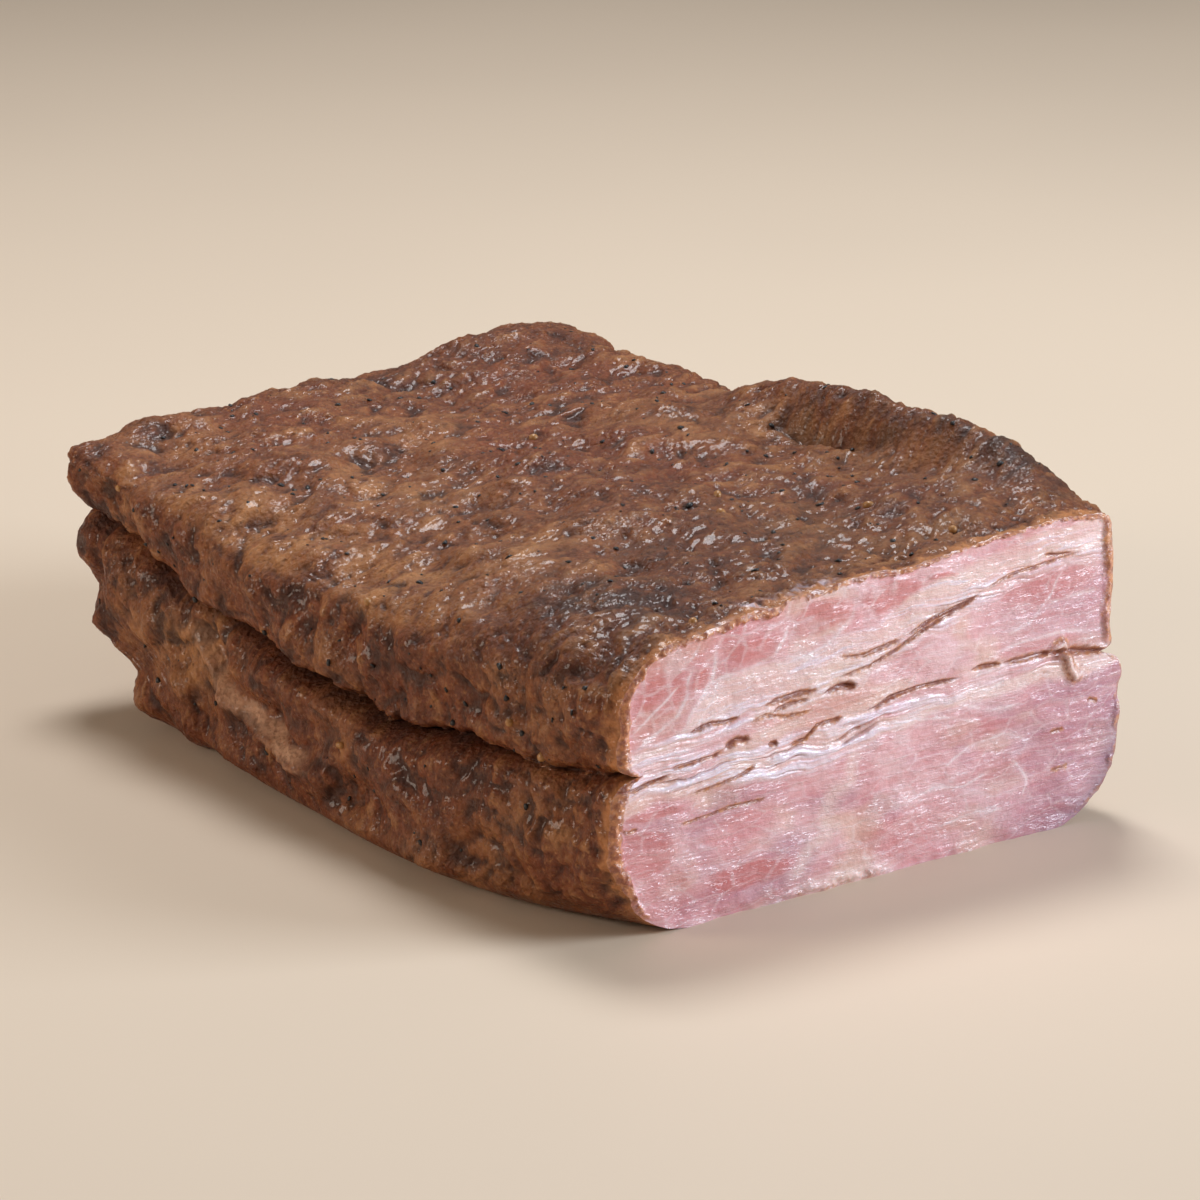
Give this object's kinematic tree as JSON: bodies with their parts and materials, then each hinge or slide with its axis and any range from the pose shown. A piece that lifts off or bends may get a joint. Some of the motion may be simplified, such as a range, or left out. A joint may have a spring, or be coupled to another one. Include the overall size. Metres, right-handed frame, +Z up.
{
  "type": "cooked beef brisket",
  "caption": "Whole piece of cooked brisket with a browned crust, a furrow between its two muscles and one end cut off square.",
  "frame": {"origin": "middle of the underside's height, at the centre of the bounding box's base", "axes": "+X out of the cut face, along the length; +Y across, towards the side with the raised roll; +Z up"},
  "size_m": [0.211, 0.1538, 0.0779],
  "materials": {
    "meat": "moist browned meat crust, mottled, with soft wet gloss",
    "cut_meat": "moist pink sliced meat with pale fat, satin",
    "spice": "coarse black pepper and whole yellow mustard seed, matte",
    "fat": "soft cooked fat, satin"
  },
  "bodies": {
    "root": {"brisket": "meat"}
  },
  "joints": []
}
